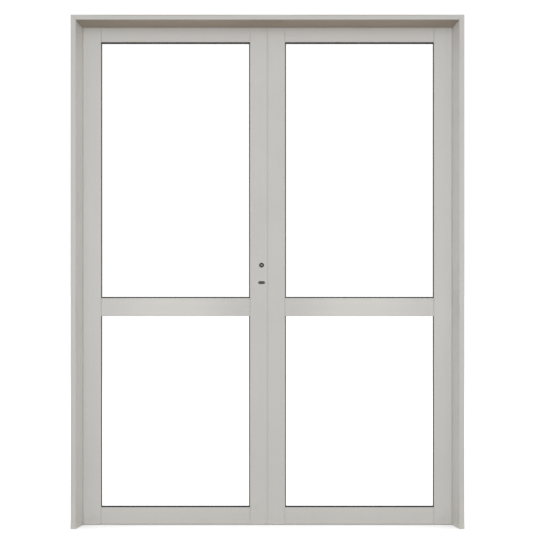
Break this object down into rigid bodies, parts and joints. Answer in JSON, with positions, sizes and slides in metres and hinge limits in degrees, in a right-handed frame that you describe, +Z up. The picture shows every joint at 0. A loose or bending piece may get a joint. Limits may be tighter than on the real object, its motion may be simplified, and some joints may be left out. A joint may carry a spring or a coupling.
{
  "type": "double door",
  "caption": "Glazed aluminium double door in its frame: side-hung leaves with a mid rail, a mortice lock with a cylinder slot, and no threshold.",
  "frame": {"origin": "on the left jamb's wall face, at floor level, halfway through the frame's depth", "axes": "+X from the left jamb to the right jamb, +Y towards the hinge side that the leaves open to, +Z up"},
  "size_m": [1.6, 0.1285, 2.09],
  "materials": {
    "grey_aluminium": "satin, light warm grey",
    "black_rubber": "matt",
    "grey_seal": "matt",
    "clear_glass": "clear",
    "hinge_metal": "satin",
    "steel": "satin",
    "lock_metal": "dark, dull"
  },
  "bodies": {
    "frame": {"left_jamb": "grey_aluminium", "right_jamb": "grey_aluminium", "head": "grey_aluminium", "left_stop_gasket": "black_rubber", "right_stop_gasket": "black_rubber", "head_stop_gasket": "black_rubber", "left_frame_hinges": "hinge_metal", "right_frame_hinges": "hinge_metal", "left_hinge_pins": "steel", "right_hinge_pins": "steel"},
    "left_leaf": {"left_hinge_stile": "grey_aluminium", "left_meeting_stile": "grey_aluminium", "left_top_rail": "grey_aluminium", "left_mid_rail": "grey_aluminium", "left_bottom_rail": "grey_aluminium", "left_upper_glass": "clear_glass", "left_lower_glass": "clear_glass", "left_upper_gaskets": "black_rubber", "left_lower_gaskets": "black_rubber", "left_upper_beads": "grey_aluminium", "left_lower_beads": "grey_aluminium", "left_leaf_hinges": "hinge_metal", "left_meeting_seal": "grey_seal", "lock_case": "steel", "lock_forend": "steel", "lock_bolts": "steel", "handle_spindle": "steel", "lock_cylinder": "lock_metal"},
    "right_leaf": {"right_hinge_stile": "grey_aluminium", "right_meeting_stile": "grey_aluminium", "right_top_rail": "grey_aluminium", "right_mid_rail": "grey_aluminium", "right_bottom_rail": "grey_aluminium", "right_upper_glass": "clear_glass", "right_lower_glass": "clear_glass", "right_upper_gaskets": "black_rubber", "right_lower_gaskets": "black_rubber", "right_upper_beads": "grey_aluminium", "right_lower_beads": "grey_aluminium", "right_leaf_hinges": "hinge_metal", "right_meeting_seal": "grey_seal", "strike_plate": "steel", "flush_bolt_plates": "steel", "flush_bolts": "steel"}
  },
  "joints": [
    {"name": "left_leaf_hinge", "type": "hinge", "parent": "frame", "child": "left_leaf", "pos_m": [0.0215, 0.0645, 0], "axis": [0, 0, 1], "range_deg": [0, 105]},
    {"name": "right_leaf_hinge", "type": "hinge", "parent": "frame", "child": "right_leaf", "pos_m": [1.5785, 0.0645, 0], "axis": [0, 0, -1], "range_deg": [0, 105]}
  ]
}
